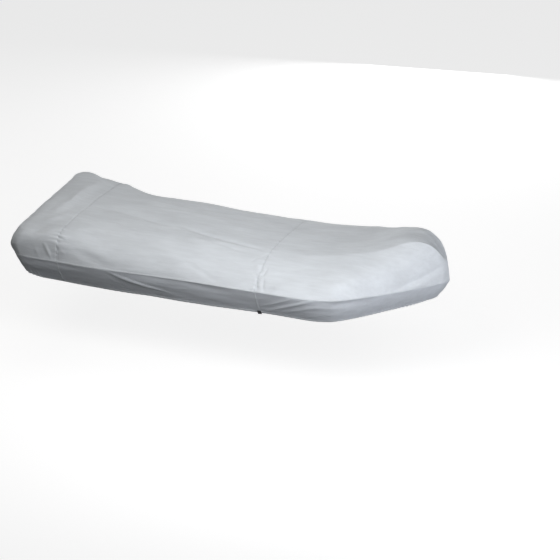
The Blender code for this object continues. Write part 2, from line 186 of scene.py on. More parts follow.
# Crumple of the stiff coated cloth: cell along, across and up, height, seed
CRUMPLE_COLUMNS = ("along", "across", "up", "height", "seed")
CRUMPLES = (
    (.3, .08, .08, .0032, 11),
    (.15, .036, .036, .0017, 23),
    (.06, .02, .02, .0006, 37),
)
TAUT_REACH, TAUT_SHARE = 0.03, 0.15        # beside the side crease the crumple dies down to a share
NOISE_LATTICE = 32

WAVE_COLUMNS = ("along", "up", "height", "start")
WAVES = (
    (3.1, 5, .002, 1.7),
    (6.7, -9, .0012, .9),
)
WAVE_FADE_MIDDLE = 0.25
WAVE_FADE_CREASE = 0.08


def smooth_through(knots, values, at, level_end=False, corner=None):
    """Cubic Hermite pieces through (knots, values), the knots along the last axis.

    The slope at a knot is the harmonic mean of the slopes beside it, or zero where they differ
    in sign. With level_end the curve ends level. corner is a knot and a share: there each side
    takes that share of its own straight slope, so the curve bends sharply.
    """
    knots = np.asarray(knots, float)
    values = np.asarray(values, float)
    steps = np.diff(knots)
    slopes = np.diff(values, axis=-1) / steps
    turn = slopes[..., :-1] * slopes[..., 1:]
    safe = np.where(turn > 0, slopes[..., :-1] + slopes[..., 1:], 1.0)
    inner = np.where(turn > 0, 2.0 * turn / safe, 0.0)
    ends = slopes[..., -1:] * (not level_end)
    leaving = np.concatenate((slopes[..., :1], inner, ends), axis=-1)
    arriving = leaving.copy()
    if corner is not None:
        knot, share = corner
        arriving[..., knot] += share * (slopes[..., knot - 1] - arriving[..., knot])
        leaving[..., knot] += share * (slopes[..., knot] - leaving[..., knot])
    i = np.clip(np.searchsorted(knots, at, side="right") - 1, 0, len(steps) - 1)
    t = (at - knots[i]) / steps[i]
    h = steps[i]
    return ((2 * t**3 - 3 * t**2 + 1) * values[..., i] + (t**3 - 2 * t**2 + t) * h * leaving[..., i]
            + (3 * t**2 - 2 * t**3) * values[..., i + 1] + (t**3 - t**2) * h * arriving[..., i + 1])


def eased(values, reach):
    """Running mean over reach neighbours on each side, mirrored at both ends."""
    share = np.full(2 * reach + 1, 1.0 / (2 * reach + 1))
    return np.convolve(np.pad(values, reach, mode="reflect"), share, mode="valid")


def fine_columns():
    """The table of sections spread to the fine columns, and the columns where sections start."""
    table = {name: np.array([row[k] for row in SECTIONS], float) for k, name in enumerate(COLUMNS)}
    cells = table["steps"][:-1].astype(int) * FINE_COLUMNS
    knots = np.concatenate(([0.0], np.cumsum(np.hypot(np.diff(table["x"]), np.diff(table["y"])))))
    at = np.concatenate([np.linspace(knots[k], knots[k + 1], cells[k], endpoint=False)
                         for k in range(len(cells))] + [knots[-1:]])
    spread = {name: smooth_through(knots, table[name], at) for name in COLUMNS[:-1]}
    spread.update({name: eased(spread[name], EASE_COLUMNS) for name in EVENED})
    spread["run"] = at
    return spread, np.concatenate(([0], np.cumsum(cells)))


def fine_rows():
    """Places of the fine rows on the scale of DRAWN_ROWS, and the fine rows that are drawn."""
    places = np.concatenate([np.linspace(a, b, n, endpoint=False)
                             for a, b, n in zip(DRAWN_ROWS, DRAWN_ROWS[1:], FINE_ROWS)]
                            + [DRAWN_ROWS[-1:]])
    return places, np.cumsum((0,) + FINE_ROWS)


COL, START = fine_columns()
ROW, DRAWN = fine_rows()
HEM, CREASE, WALL, RIDGE, DIP, MIDDLE = DRAWN


def half_surface(side):
    """Points of one half as an array (column, row, xyz). side is -1 starboard, +1 port.

    Above the crease a section's width and height are smooth curves through its drawn rows, and
    its plan is a curve of second degree that leaves the crease along its aim and ends on the
    middle line. Below it the band is a straight line to the hem with a small outward swell.
    """
    edge = np.stack((COL["x"], COL["y"]), axis=1)
    target = np.stack((COL["x_mid"], 0 * COL["x"]), axis=1)
    aim = np.radians(COL["aim"])
    inward = np.stack((np.cos(aim), -np.sin(aim)), axis=1)
    reach = np.linalg.norm(target - edge, axis=1)
    tilt = -side * COL["tilt"]
    widths = np.stack((0 * reach, COL["wall_in"], COL["ridge_in"], COL["dip_in"], reach), axis=1)
    heights = np.stack((COL["crease"], COL["wall_up"] + 0.5 * tilt, COL["ridge_up"] + tilt,
                        COL["dip_up"] + 0.6 * tilt, COL["crown_up"]), axis=1)
    upper = ROW[CREASE:]
    points = np.zeros((len(reach), len(ROW), 3))
    corner = (2, COL["corner"])
    points[:, CREASE:, 2] = smooth_through(DRAWN_ROWS[1:], heights, upper, True, corner)
    s = (smooth_through(DRAWN_ROWS[1:], widths, upper, False, corner) / reach[:, None])[..., None]
    bend = edge + inward * reach[:, None] / 2
    points[:, CREASE:, :2] = ((1 - s) ** 2 * edge[:, None] + 2 * s * (1 - s) * bend[:, None]
                              + s**2 * target[:, None])

    down = (1.0 - ROW[:CREASE] / DRAWN_ROWS[1])[None, :]
    band_in = COL["hem_in"][:, None] * down - BAND_BULGE * 4 * down * (1 - down)
    points[:, :CREASE, :2] = edge[:, None] + inward[:, None] * band_in[..., None]
    drop = COL["hem_up"] - COL["crease"]
    points[:, :CREASE, 2] = COL["crease"][:, None] + drop[:, None] * down

    points[:, MIDDLE, 1] = 0.0
    points[0, :, 1] = 0.0
    points[-1, :, 1] = 0.0
    points[..., 1] *= side
    return points


def unit(vectors):
    """Vectors over their lengths, along the last axis."""
    return vectors / np.maximum(np.linalg.norm(vectors, axis=-1, keepdims=True), 1e-9)


def half_normals(points, side):
    """Unit normals out of the cover: the cross product of the two differences on the grid."""
    return unit(np.cross(np.gradient(points, axis=0), np.gradient(points, axis=1)) * -side)


def girth(points):
    """Distance along each section from the side crease, up positive, down negative."""
    lengths = np.linalg.norm(np.diff(points, axis=1), axis=2)
    run = np.concatenate((np.zeros((len(points), 1)), np.cumsum(lengths, axis=1)), axis=1)
    return run - run[:, CREASE:CREASE + 1]


def soft_ridges(x, places, folds):
    """Sum of soft ridges: height times a parabola along the fold times a bell across it.

    places holds, for each side, the distance up from that side's crease and on over the middle
    line. The fold's own line is a parabola too, bow away from its chord at the middle.
    """
    lift = np.zeros_like(x)
    for row in folds:
        fold = dict(zip(FOLD_COLUMNS, row))
        g = places[fold["side"]]
        run = np.array((fold["x2"] - fold["x1"], fold["g2"] - fold["g1"]))
        length = np.hypot(*run)
        run /= length
        t = ((x - fold["x1"]) * run[0] + (g - fold["g1"]) * run[1]) / length
        along = np.clip(4 * t * (1 - t), 0, 1)
        off = (x - fold["x1"]) * run[1] - (g - fold["g1"]) * run[0] + fold["bow"] * along
        lift += fold["height"] * along * np.exp(-(off / fold["width"]) ** 2)
    return lift


def lattice_noise(points, cell, seed):
    """Smooth noise, -1 to 1: random values on a lattice, blended with a cubic step in each cell."""
    values = np.random.RandomState(seed).uniform(-1, 1, (NOISE_LATTICE,) * 3)
    place = points / np.asarray(cell) + 500.0
    low = np.floor(place).astype(int)
    t = place - low
    t = t * t * (3 - 2 * t)
    total = np.zeros(points.shape[:-1])
    for k in range(8):
        step = np.array(((k >> 2) & 1, (k >> 1) & 1, k & 1))
        share = np.prod(np.where(step, t, 1 - t), axis=-1)
        i = (low + step) % NOISE_LATTICE
        total += share * values[i[..., 0], i[..., 1], i[..., 2]]
    return total


def seam_draw(x, g):
    """Beside a cross seam the cloth waves with the thread's pull and dips into a groove at it."""
    lift = np.zeros_like(x)
    for seam in (AFT_SEAM, MIDDLE_SEAM):
        off = x - SECTIONS[seam][0]
        stray = PUCKER_STRAY * np.sin(2 * np.pi * g / PUCKER_STRAY_LENGTH + seam)
        wave = np.sin(2 * np.pi * g / PUCKER_PITCH + stray + PUCKER_SHIFT * np.sign(off))
        lift += PUCKER_HEIGHT * wave * np.exp(-np.abs(off) / PUCKER_REACH)
        lift -= SEAM_GROOVE * np.exp(-(off / SEAM_GROOVE_WIDTH) ** 2)
    return lift * (g > 0)


def hem_gathers(x, g, side):
    """Small waves at the hem, strongest where the draw cord bunches the cloth."""
    hem = g[:, :1]
    lift = np.zeros_like(x)
    run = np.repeat(COL["run"][:, None], x.shape[1], axis=1)
    for row in GATHERS:
        part = dict(zip(GATHER_COLUMNS, row))
        if part["side"] != side:
            continue
        t = (x - part["from_x"]) / (part["to_x"] - part["from_x"])
        along = np.clip(4 * t * (1 - t), 0, 1) ** 0.5
        stray = GATHER_STRAY * np.sin(2 * np.pi * run / GATHER_STRAY_LENGTH)
        phase = 2 * np.pi * run / part["pitch"] + stray
        up = np.exp(-((g - hem) / part["reach"]) ** 2) * (g < 0)
        lift += part["height"] * along * up * np.sin(phase + GATHER_LEAN * (g - hem))
    return lift


def main_folds(halves, side):
    """Folds, puckers, gathers, slow waves and crumple of one half, as heights along the normals."""
    points = halves[side]
    x = points[..., 0]
    g, beyond = girth(points), girth(halves[-side])
    places = {side: g, -side: beyond[:, -1:] + g[:, -1:] - g}
    waves = np.zeros_like(x)
    for row in WAVES:
        wave = dict(zip(WAVE_COLUMNS, row))
        waves += wave["height"] * np.sin(wave["along"] * x + wave["up"] * g + wave["start"] * side)
    waves *= np.clip(np.abs(points[..., 1]) / WAVE_FADE_MIDDLE, 0, 1)
    waves *= np.clip(np.abs(g) / WAVE_FADE_CREASE, 0, 1)
    aft, fore = FOLDED_TOP
    inside = np.clip(np.minimum(x - aft, fore - x) / FOLD_FADE, 0, 1)
    fade = np.maximum(np.clip(np.abs(points[..., 1]) / FOLD_FADE, 0, 1), inside)
    lift = soft_ridges(x, places, FOLDS) + soft_ridges(x, places, PUCKERS) + waves
    lift = (lift + seam_draw(x, g) + hem_gathers(x, g, side)) * fade
    taut = np.clip(np.abs(g) / TAUT_REACH, TAUT_SHARE, 1)
    for row in CRUMPLES:
        part = dict(zip(CRUMPLE_COLUMNS, row))
        cell = (part["along"], part["across"], part["up"])
        lift += part["height"] * lattice_noise(points, cell, part["seed"]) * taut
    return lift


def slackened(halves):
    """Both halves with the cloth between the ridges pulled even, like a sheet under tension.

    Each point there moves to the mean of its four neighbours, round after round. On the middle
    line, at the middle of the stern and at the tip of the bow its neighbours are on the other side.
    """
    deck = np.concatenate((halves[-1][:, RIDGE:], halves[1][:, RIDGE:-1][:, ::-1]), axis=1)
    for _ in range(SLACK_ROUNDS):
        along = np.concatenate((deck[1:2, ::-1], deck, deck[-2:-1, ::-1]))[:, 1:-1]
        deck[:, 1:-1] = (along[:-2] + along[2:] + deck[:, :-2] + deck[:, 2:]) / 4
    halves[-1][:, RIDGE:] = deck[:, :MIDDLE - RIDGE + 1]
    halves[1][:, RIDGE:] = deck[:, MIDDLE - RIDGE:][:, ::-1]
    return halves


SMOOTH_HALVES = slackened({side: half_surface(side) for side in (-1, 1)})


def folded_half(side):
    """A slackened half with its folds, lowered so that the origin is under the top."""
    lift = main_folds(SMOOTH_HALVES, side)
    points = SMOOTH_HALVES[side] + half_normals(SMOOTH_HALVES[side], side) * lift[..., None]
    points[..., 2] -= TOP_HEIGHT
    return points


# ---------------------------------------------------------------- welding and cutting

HALVES = {side: folded_half(side) for side in (-1, 1)}
SHAPE = HALVES[-1].shape[:2]


def weld():
    """Both halves as one set of points, with a grid of point numbers for each half.

    The port half uses the starboard half's points on the middle line, at the middle of the
    stern and at the tip of the bow.
    """
    count = SHAPE[0] * SHAPE[1]
    starboard = np.arange(count).reshape(SHAPE)
    port = starboard + count
    port[:, -1] = starboard[:, -1]
    port[0] = starboard[0]
    port[-1] = starboard[-1]
    places = np.concatenate((HALVES[-1].reshape(-1, 3), HALVES[1].reshape(-1, 3)))
    return places, {-1: starboard, 1: port}


def grid_quads(number, side):
    """Quads of a grid of point numbers, turned outwards, as an array (column, row, 4)."""
    ring = np.stack((number[:-1, :-1], number[1:, :-1], number[1:, 1:], number[:-1, 1:]), axis=-1)
    return ring if side < 0 else ring[..., ::-1]


def point_normals(places, quads):
    """Unit normals at the points: the sum of the cross products of the quads' diagonals."""
    a, b, c, d = (places[quads[:, k]] for k in range(4))
    face = np.cross(c - a, d - b)
    normals = np.zeros_like(places)
    for k in range(4):
        np.add.at(normals, quads[:, k], face)
    return unit(normals)


PLACES, NUMBER = weld()
QUADS = {side: grid_quads(NUMBER[side], side) for side in (-1, 1)}
NORMALS = point_normals(PLACES, np.concatenate([QUADS[side].reshape(-1, 4) for side in (-1, 1)]))


def cloth_coordinates(side):
    """Place of every point on the flat cloth: along the crease, and up from it or from the middle."""
    g = girth(HALVES[side])
    run = np.repeat(COL["run"][:, None], SHAPE[1], axis=1)
    above = side * (g[:, -1:] - g)
    return {"upper": np.stack((run, above), axis=-1), "band": np.stack((side * run, g), axis=-1)}


def make_mesh(name, points, faces, uv=None, smooth=True):
    """A mesh object from arrays. faces is an array (n, 4) or (n, 3), or a list of such arrays."""
    groups = [f for f in (faces if isinstance(faces, list) else [faces]) if len(f)]
    mesh = bpy.data.meshes.new(name)
    loops = np.concatenate([f.ravel() for f in groups]).astype(np.int32)
    totals = np.concatenate([np.full(len(f), f.shape[1]) for f in groups])
    mesh.vertices.add(len(points))
    mesh.vertices.foreach_set("co", np.asarray(points, np.float32).ravel())
    mesh.loops.add(len(loops))
    mesh.loops.foreach_set("vertex_index", loops)
    mesh.polygons.add(len(totals))
    starts = np.concatenate(([0], np.cumsum(totals)[:-1])).astype(np.int32)
    mesh.polygons.foreach_set("loop_start", starts)
    if uv is not None:
        layer = mesh.uv_layers.new(name="cloth")
        layer.data.foreach_set("uv", np.asarray(uv, np.float32).ravel())
    mesh.polygons.foreach_set("use_smooth", np.full(len(totals), smooth))
    mesh.update(calc_edges=True)
    mesh.validate()
    thing = bpy.data.objects.new(name, mesh)
    bpy.context.scene.collection.objects.link(thing)
    return thing


def cut_cloth(name, parts):
    """One piece of cloth from blocks (side, columns, rows, kind) of the welded grid.

    Its rim is drawn back half a seam gap, its inner face lies CLOTH inside the outer one, and a
    band of quads along the rim joins the two.
    """
    quads = np.concatenate([QUADS[s][c0:c1, r0:r1].reshape(-1, 4)
                            for s, (c0, c1), (r0, r1), _ in parts])
    flats = []
    for side, (c0, c1), (r0, r1), kind in parts:
        flat = cloth_coordinates(side)[kind]
        ring = np.stack((flat[:-1, :-1], flat[1:, :-1], flat[1:, 1:], flat[:-1, 1:]), axis=2)
        ring = ring if side < 0 else ring[:, :, ::-1]
        flats.append(ring[c0:c1, r0:r1].reshape(-1, 4, 2))
    flats = np.concatenate(flats)

    size = len(PLACES)
    forward = (quads * size + np.roll(quads, -1, axis=1)).ravel()
    backward = (np.roll(quads, -1, axis=1) * size + quads).ravel()
    alone = ~np.isin(forward, backward)
    a, b = quads.ravel()[alone], np.roll(quads, -1, axis=1).ravel()[alone]
    rim_flat = np.stack((flats.reshape(-1, 2)[alone],
                         np.roll(flats, -1, axis=1).reshape(-1, 2)[alone]), axis=1)

    outer = PLACES.copy()
    pull = np.zeros_like(outer)
    for v in (a, b):
        np.add.at(pull, v, unit(np.cross(NORMALS[v], outer[b] - outer[a])))
    spread = np.maximum(1e-9, (pull**2).sum(axis=1, keepdims=True))
    outer += np.where(spread > 1e-6, 2 * pull / spread, 0) * SEAM_GAP / 2
    inner = outer - NORMALS * CLOTH

    used, slot = np.unique(quads, return_inverse=True)
    slot = slot.reshape(quads.shape)
    rim = np.stack((np.searchsorted(used, b), np.searchsorted(used, a)), axis=1)
    walls = np.stack((rim[:, 0], rim[:, 1], rim[:, 1] + len(used), rim[:, 0] + len(used)), axis=1)
    points = np.concatenate((outer[used], inner[used]))
    faces = np.concatenate((slot, slot[:, ::-1] + len(used), walls))
    wall_flat = rim_flat[:, (1, 0, 0, 1)]
    uv = np.concatenate((flats, flats[:, ::-1], wall_flat))
    return make_mesh(name, points, faces, uv)


STERN_COLUMNS = (0, START[AFT_SEAM])
MIDDLE_COLUMNS = (START[AFT_SEAM], START[MIDDLE_SEAM])
BOW_COLUMNS = (START[MIDDLE_SEAM], START[-1])
UPPER_ROWS = (CREASE, MIDDLE)
BAND_ROWS = (HEM, CREASE)


def both(columns, rows, kind):
    return [(side, columns, rows, kind) for side in (-1, 1)]


CLOTHS = {
    "stern_panel": cut_cloth("stern_cloth", both(STERN_COLUMNS, UPPER_ROWS, "upper")),
    "middle_panel": cut_cloth("middle_cloth", both(MIDDLE_COLUMNS, UPPER_ROWS, "upper")),
    "bow_panel": cut_cloth("bow_cloth", both(BOW_COLUMNS, UPPER_ROWS, "upper")),
    "stern_band": cut_cloth("stern_band_cloth", both(STERN_COLUMNS, BAND_ROWS, "band")),
    "middle_band_starboard": cut_cloth("starboard_band_cloth",
                                       [(-1, MIDDLE_COLUMNS, BAND_ROWS, "band")]),
    "middle_band_port": cut_cloth("port_band_cloth", [(1, MIDDLE_COLUMNS, BAND_ROWS, "band")]),
    "bow_band": cut_cloth("bow_band_cloth", both(BOW_COLUMNS, BAND_ROWS, "band")),
}

NORMAL_GRIDS = {side: NORMALS[NUMBER[side]] for side in (-1, 1)}

# ---------------------------------------------------------------- seams, hem and thread


def on_cloth(side, column, row):
    """Points and normals of a half at fractional columns and rows, blended from the four around."""
    c, r = np.clip(column, 0, SHAPE[0] - 1.001), np.clip(row, 0, SHAPE[1] - 1.001)
    i, j = c.astype(int), r.astype(int)
    t, u = (c - i)[..., None], (r - j)[..., None]

    def blend(grid):
        return ((1 - t) * (1 - u) * grid[i, j] + t * (1 - u) * grid[i + 1, j]
                + (1 - t) * u * grid[i, j + 1] + t * u * grid[i + 1, j + 1])

    return blend(HALVES[side]), unit(blend(NORMAL_GRIDS[side]))


def moved_across(side, column, row, offset, across_columns):
    """Columns and rows that lie offset metres aside, across the columns or across the rows."""
    step = (1.0, 0.0) if across_columns else (0.0, 1.0)
    here, _ = on_cloth(side, column - 0.5 * step[0], row)
    there, _ = on_cloth(side, column + 0.5 * step[0], row + step[1])
    cells = offset / np.maximum(np.linalg.norm(there - here, axis=-1), 1e-4)
    return column + cells * step[0], row + cells * step[1]


def tube_faces(lines, around):
    """Quads of a closed tube of rings, and its two end faces."""
    number = np.arange(lines * around).reshape(lines, around)
    ring = np.stack((number[:-1], number[1:], np.roll(number, -1, axis=1)[1:],
                     np.roll(number, -1, axis=1)[:-1]), axis=-1).reshape(-1, 4)
    return [ring, number[:1], number[-1:, ::-1]]


def carried(lines, profile, across_columns):
    """Rings of a profile carried along lines of the cloth.

    lines are (side, columns, rows). A profile point is (offset along the cloth, height over it,
    drop below the edge); it moves aside on the cloth, out along the normal and down past the hem.
    """
    rings = []
    for side, column, row in lines:
        ring = []
        for offset, height, drop in profile:
            at = moved_across(side, column, row, offset, across_columns)
            point, normal = on_cloth(side, *at)
            up = unit(on_cloth(side, column, row + 1.0)[0] - on_cloth(side, column, row)[0])
            ring.append(point + normal * height - up * drop)
        rings.append(np.stack(ring, axis=1))
    return np.concatenate(rings)


def outward(faces, points):
    """The faces, turned round if the body that their quads make has its volume inside out."""
    quads = np.concatenate([f for f in faces if f.shape[1] == 4])
    a, b, c, d = (points[quads[:, k]] - points.mean(axis=0) for k in range(4))
    volume = (a * (np.cross(b, c) + np.cross(c, d))).sum()
    return faces if volume > 0 else [f[:, ::-1] for f in faces]


def strip(name, lines, profile, across_columns):
    """A closed strip of one profile along lines of the cloth."""
    rings = carried(lines, profile, across_columns)
    points = rings.reshape(-1, 3)
    return make_mesh(name, points, outward(tube_faces(*rings.shape[:2]), points))


# Profiles (offset, height, drop): the lap over a cross seam, the welt on the side crease, the hem
LAP = ((-.0065, -.0006, 0), (-.0066, .0004, 0), (-.0056, .001, 0), (0, .0012, 0),
       (.0056, .001, 0), (.0066, .0004, 0), (.0065, -.0006, 0))
WELT = ((-.0014, -.0004, 0), (-.0018, .0005, 0), (-.0006, .0013, 0), (.0012, .0012, 0),
        (.009, .0008, 0), (.01, .0003, 0), (.01, -.0005, 0))
BAND_LAP_LOW, BAND_LAP_HIGH = 3, 1         # fine rows that a band's lap keeps off hem and crease
HEM_FOLD = ((.0215, .0002, 0), (.0208, .001, 0), (.012, .0011, 0), (.005, .0024, 0),
            (0, .0028, .0012), (0, .0014, .0036), (0, -.0014, .0044),
            (0, -.004, .0026), (0, -.0046, 0), (.006, -.004, 0), (.013, -.0028, 0),
            (.0208, -.0026, 0), (.0215, -.002, 0))


def top_lines(column):
    """A line over the cover at one column, from the starboard crease to the port one."""
    up = np.arange(CREASE, MIDDLE + 1).astype(float)
    down = up[-2::-1]
    return [(-1, np.full(len(up), float(column)), up), (1, np.full(len(down), float(column)), down)]


def band_lines(column, side):
    """A line up one side's band at one column, from above the hem to below the crease."""
    up = np.arange(HEM + BAND_LAP_LOW, CREASE - BAND_LAP_HIGH + 1).astype(float)
    return [(side, np.full(len(up), float(column)), up)]


def edge_lines(columns, row, sides=(-1, 1)):
    """A line along one row. With both sides it runs round the stern or the bow."""
    first, last = columns
    run = np.arange(first, last + 1).astype(float)
    if len(sides) == 1:
        return [(sides[0], run, np.full(len(run), float(row)))]
    toward = run[::-1] if first == 0 else run
    away = toward[-2::-1]
    return [(-1, toward, np.full(len(toward), float(row))), (1, away, np.full(len(away), float(row)))]


STITCH_PITCH = 0.0066
SEAM_ROWS = (-0.0042, 0.0042)      # two rows of stitches on a lap, aside of its middle
WELT_ROW, HEM_ROW = 0.0062, 0.0180         # one row each, up from the crease and from the hem
LAP_TOP, WELT_TOP, HEM_TOP = 0.0012, 0.0011, 0.0012
AHEAD = 0.002              # a stitch lies along the chord of this much line before and past it
# A stitch: four corners each at its aft end, its middle and its fore end (along, aside, out)
STITCH = np.array([(-.0021, -.0002, -.0003), (-.0021, .0002, -.0003), (-.0021, .0001, 0),
                   (-.0021, -.0001, 0), (0, -.0004, -.0003), (0, .0004, -.0003),
                   (0, .0002, .0004), (0, -.0002, .0004), (.0021, -.0002, -.0003),
                   (.0021, .0002, -.0003), (.0021, .0001, 0), (.0021, -.0001, 0)])
STITCH_QUADS = np.array([(a + k, a + (k + 1) % 4, a + 4 + (k + 1) % 4, a + 4 + k)
                         for a in (0, 4) for k in range(4)] + [(3, 2, 1, 0), (8, 9, 10, 11)])


def stitch_row(lines, offset, height, across_columns):
    """Points and quads of a row of stitches: one small spindle each pitch along the line."""
    points = carried(lines, ((offset, height, 0), (offset, height + 0.001, 0),), across_columns)
    path, over = points[:, 0], points[:, 1] - points[:, 0]
    run = np.concatenate(([0], np.cumsum(np.linalg.norm(np.diff(path, axis=0), axis=1))))
    at = np.arange(STITCH_PITCH, run[-1] - STITCH_PITCH, STITCH_PITCH)

    def along(values, where):
        return np.stack([np.interp(where, run, values[:, k]) for k in range(3)], axis=1)

    place = along(path, at)
    ahead = unit(along(path, at + AHEAD) - along(path, at - AHEAD))
    out = unit(along(over, at))
    aside = unit(np.cross(out, ahead))
    body = (place[:, None] + STITCH[None, :, :1] * ahead[:, None]
            + STITCH[None, :, 1:2] * aside[:, None] + STITCH[None, :, 2:] * out[:, None])
    quads = STITCH_QUADS[None] + len(STITCH) * np.arange(len(at))[:, None, None]
    return body.reshape(-1, 3), quads.reshape(-1, 4)


def thread(name, rows):
    """One piece from several rows of stitches."""
    points, quads, count = [], [], 0
    for row in rows:
        p, q = stitch_row(*row)
        points.append(p)
        quads.append(q + count)
        count += len(p)
    return make_mesh(name, np.concatenate(points), np.concatenate(quads))


def top_stitching(column):
    """Stitch rows along a cross seam. The next two give those along the welt and the hem."""
    return [(top_lines(column), offset, LAP_TOP, True) for offset in SEAM_ROWS]


def welt_stitching(columns, sides=(-1, 1)):
    return [(edge_lines(columns, CREASE, sides), WELT_ROW, WELT_TOP, False)]


def hem_stitching(columns, sides=(-1, 1)):
    return [(edge_lines(columns, HEM, sides), HEM_ROW, HEM_TOP, False)]


AFT, MID = START[AFT_SEAM], START[MIDDLE_SEAM]
SIDE_NAMES = {-1: "starboard", 1: "port"}
BOTH_SIDES, STARBOARD, PORT = (-1, 1), (-1,), (1,)
LAPS = {
    "aft": strip("aft_seam_lap", top_lines(AFT), LAP, True),
    "middle": strip("middle_seam_lap", top_lines(MID), LAP, True),
}
# A length of edge: name, its columns and its sides
EDGES = (
    ("stern", STERN_COLUMNS, BOTH_SIDES),
    ("bow", BOW_COLUMNS, BOTH_SIDES),
    ("starboard", MIDDLE_COLUMNS, STARBOARD),
    ("port", MIDDLE_COLUMNS, PORT),
)
WELTS = {name: strip(name + "_welt", edge_lines(columns, CREASE, sides), WELT, False)
         for name, columns, sides in EDGES}
HEMS = {name: strip(name + "_hem", edge_lines(columns, HEM, sides), HEM_FOLD, False)
        for name, columns, sides in EDGES}
BAND_LAPS = {(name, side): strip("%s_band_lap_%s" % (name, SIDE_NAMES[side]),
                                 band_lines(column, side), LAP, True)
             for name, column in (("aft", AFT), ("middle", MID)) for side in BOTH_SIDES}
THREADS = {
    "stern_panel": thread("stern_thread", top_stitching(AFT) + welt_stitching(STERN_COLUMNS)),
    "middle_panel": thread("middle_thread", welt_stitching(MIDDLE_COLUMNS, STARBOARD)
                           + welt_stitching(MIDDLE_COLUMNS, PORT)),
    "bow_panel": thread("bow_thread", top_stitching(MID) + welt_stitching(BOW_COLUMNS)),
    "stern_band": thread("stern_hem_thread", hem_stitching(STERN_COLUMNS)),
    "middle_band_starboard": thread("starboard_hem_thread", hem_stitching(MIDDLE_COLUMNS, STARBOARD)),
    "middle_band_port": thread("port_hem_thread", hem_stitching(MIDDLE_COLUMNS, PORT)),
    "bow_band": thread("bow_hem_thread", hem_stitching(BOW_COLUMNS)),
}

# ---------------------------------------------------------------- webbing tabs

TAB_WIDTH, TAB_LENGTH, TAB_UP, TAB_THICK = 0.038, 0.044, 0.026, 0.0018
TAB_RIBS, TAB_RIB_HEIGHT = 11, 0.00035
TAB_WEFT_PITCH, TAB_WEFT_HEIGHT = 0.0014, 0.00012
TAB_BACK, TAB_FRONT = 0.0030, 0.0034       # its two faces over the cloth at its rim
TAB_BACK_ROUND = 0.0004                    # how much nearer the back lies inside the rim
TAB_ROUND = 14                             # power of the curve that thins it to its side edges
TAB_GRID = (67, 45)


def webbing_tab(name, side):
    """A strap sewn over the hem: a ribbed sheet that lies on the cloth above and hangs free below.

    Ribs are a rectified sine across the width, and the weft is a fine sine along the length.
    """
    across, down = np.meshgrid(np.linspace(-0.5, 0.5, TAB_GRID[0]),
                               np.linspace(-TAB_UP, TAB_LENGTH - TAB_UP, TAB_GRID[1]), indexing="ij")
    column, row = np.full(across.shape, float(MID)), np.zeros(across.shape)
    column, row = moved_across(side, column, row, across * TAB_WIDTH, True)
    column, row = moved_across(side, column, row, np.maximum(-down, 0), False)
    point, normal = on_cloth(side, column, row)
    up = unit(on_cloth(side, column, row * 0 + 2.0)[0] - on_cloth(side, column, row * 0)[0])
    point = point - up * np.maximum(down, 0)[..., None]
    edge = np.sqrt(np.clip(1 - (2 * np.abs(across)) ** TAB_ROUND, 0, 1))
    rib = TAB_RIBS * (across + 0.5)
    ribs = TAB_RIB_HEIGHT * np.abs(np.sin(np.pi * rib))
    weft = TAB_WEFT_HEIGHT * np.sin(2 * np.pi * down / TAB_WEFT_PITCH + np.pi * np.floor(rib))
    lift = TAB_FRONT + (ribs + weft + TAB_THICK) * edge
    front = point + normal * lift[..., None]
    back = point + normal * (TAB_BACK - TAB_BACK_ROUND * edge)[..., None]
    number = np.arange(across.size).reshape(across.shape)
    ring = grid_quads(number, -1).reshape(-1, 4)
    rim = np.concatenate((number[:, 0], number[-1, 1:], number[-2::-1, -1], number[0, -2:0:-1]))
    after = np.roll(rim, -1)
    walls = np.stack((rim, rim + across.size, after + across.size, after), axis=1)
    points = np.concatenate((front.reshape(-1, 3), back.reshape(-1, 3)))
    faces = [ring, ring[:, ::-1] + across.size, walls]
    return make_mesh(name, points, outward(faces, points))


TABS = {"tie_tab_starboard": webbing_tab("starboard_tie_webbing", -1),
        "tie_tab_port": webbing_tab("port_tie_webbing", 1)}

# ---------------------------------------------------------------- materials


class Nodes:
    """Short names for making and joining shader nodes in one tree."""

    def __init__(self, tree):
        self.tree = tree

    def add(self, kind, inputs=None, **settings):
        node = self.tree.nodes.new(kind)
        for name, value in settings.items():
            setattr(node, name, value)
        for key, value in (inputs or {}).items():
            if isinstance(value, bpy.types.NodeSocket):
                self.tree.links.new(value, node.inputs[key])
            else:
                node.inputs[key].default_value = value
        return node

    def math(self, operation, a, b=0.0):
        return self.add("ShaderNodeMath", {0: a, 1: b}, operation=operation).outputs[0]

    def noise(self, place, scale, detail=3.0, rough=0.5):
        return self.add("ShaderNodeTexNoise", {"Vector": place, "Scale": scale, "Detail": detail,
                                               "Roughness": rough}).outputs["Fac"]

    def scaled(self, color, amount):
        return self.add("ShaderNodeVectorMath", {0: color, "Scale": amount},
                        operation="SCALE").outputs[0]

    def stretched(self, place, scale):
        return self.add("ShaderNodeMapping", {"Vector": place, "Scale": scale}).outputs["Vector"]


FULL_TURN = 6.28318
DARKENING_TOP, DARKENING_FOOT = -0.32, -0.47         # heights between which the colour darkens in patches, more towards the hem
